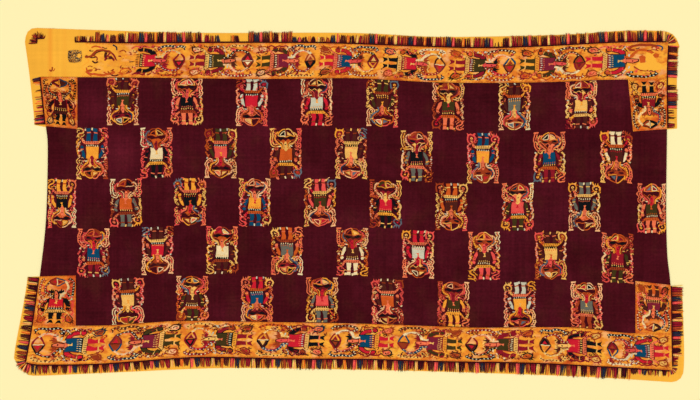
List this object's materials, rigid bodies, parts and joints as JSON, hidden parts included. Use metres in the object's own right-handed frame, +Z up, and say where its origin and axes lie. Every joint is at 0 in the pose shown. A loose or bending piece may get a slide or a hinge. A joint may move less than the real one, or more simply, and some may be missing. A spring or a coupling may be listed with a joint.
{
  "type": "funerary mantle on its support cloth",
  "caption": "Rectangular embroidered wool mantle laid flat on a support cloth, with gold border bands, corner returns and a many-coloured yarn fringe.",
  "frame": {"origin": "middle of the mantle's outline, on the underside of the support cloth", "axes": "+X along the mantle's length, +Y across it towards the border whose left end is worn away, +Z up out of the embroidered face"},
  "size_m": [2.5122, 1.328, 0.0042],
  "materials": {
    "support_cotton": "matt plain weave",
    "ground_wool": "matt plain weave",
    "border_stitching": "close stem stitch",
    "fringe_wool": "twisted yarn"
  },
  "bodies": {
    "root": {"support_cloth": "support_cotton", "ground_cloth": "ground_wool", "band_top": "border_stitching", "band_bottom": "border_stitching", "return_top_left": "border_stitching", "return_top_right": "border_stitching", "return_bottom_left": "border_stitching", "return_bottom_right": "border_stitching", "fringe_top": "fringe_wool", "fringe_top_left": "fringe_wool", "fringe_top_right": "fringe_wool", "fringe_bottom": "fringe_wool", "fringe_bottom_left": "fringe_wool", "fringe_bottom_right": "fringe_wool", "fringe_tuft": "fringe_wool", "band_scrap": "border_stitching"}
  },
  "joints": []
}
